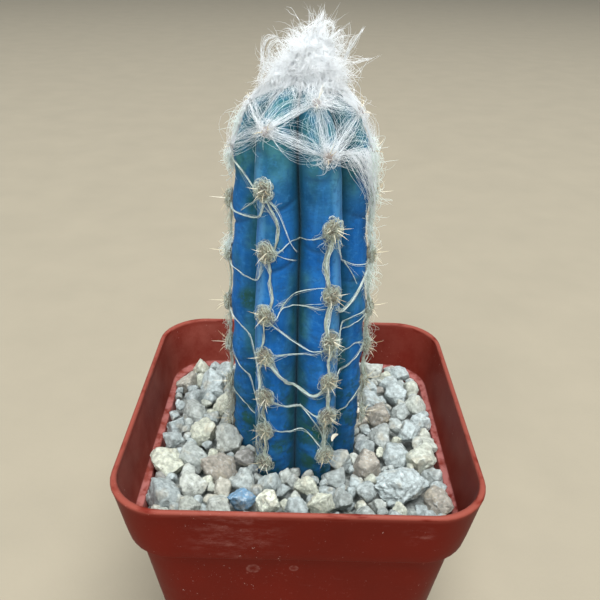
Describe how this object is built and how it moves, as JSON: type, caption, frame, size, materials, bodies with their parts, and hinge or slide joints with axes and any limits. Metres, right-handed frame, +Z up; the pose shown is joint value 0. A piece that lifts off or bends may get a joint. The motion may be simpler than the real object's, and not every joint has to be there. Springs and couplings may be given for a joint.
{
  "type": "potted woolly torch cactus",
  "caption": "Ribbed blue columnar cactus with woolly, spiny areoles and a white hair crown, standing in gravel and soil in a square tapered plastic pot.",
  "frame": {"origin": "centre of the pot's footprint, on the surface that it stands on", "axes": "+Z up along the stem, -Y towards the viewer of the picture, +X to the viewer's right"},
  "size_m": [0.09, 0.09, 0.1839],
  "materials": {
    "pot": "satin, dusty",
    "soil": "rough",
    "gravel_pale": "rough",
    "gravel_cream": "rough",
    "gravel_tan": "rough",
    "gravel_blue": "rough",
    "skin": "powdery bloom",
    "tan_wool": "felted",
    "white_wool": "fine hair"
  },
  "bodies": {
    "root": {"pot": "pot", "soil": "soil", "gravel_bed": "gravel_pale", "stone_large_pale": "gravel_pale", "stone_blue_grey": "gravel_blue", "stone_cream_block": "gravel_cream", "stone_cream_left": "gravel_cream", "stone_cream_back": "gravel_cream", "stone_cream_front": "gravel_cream", "stone_tan_left": "gravel_tan", "stone_tan_right": "gravel_tan", "stone_tan_corner": "gravel_tan", "stone_tan_rear": "gravel_tan", "stem": "skin", "areole_row_1": "tan_wool", "areole_row_2": "tan_wool", "areole_row_3": "tan_wool", "areole_row_4": "tan_wool", "areole_row_5": "tan_wool", "areole_row_6": "tan_wool", "crown_wool": "white_wool"}
  },
  "joints": []
}
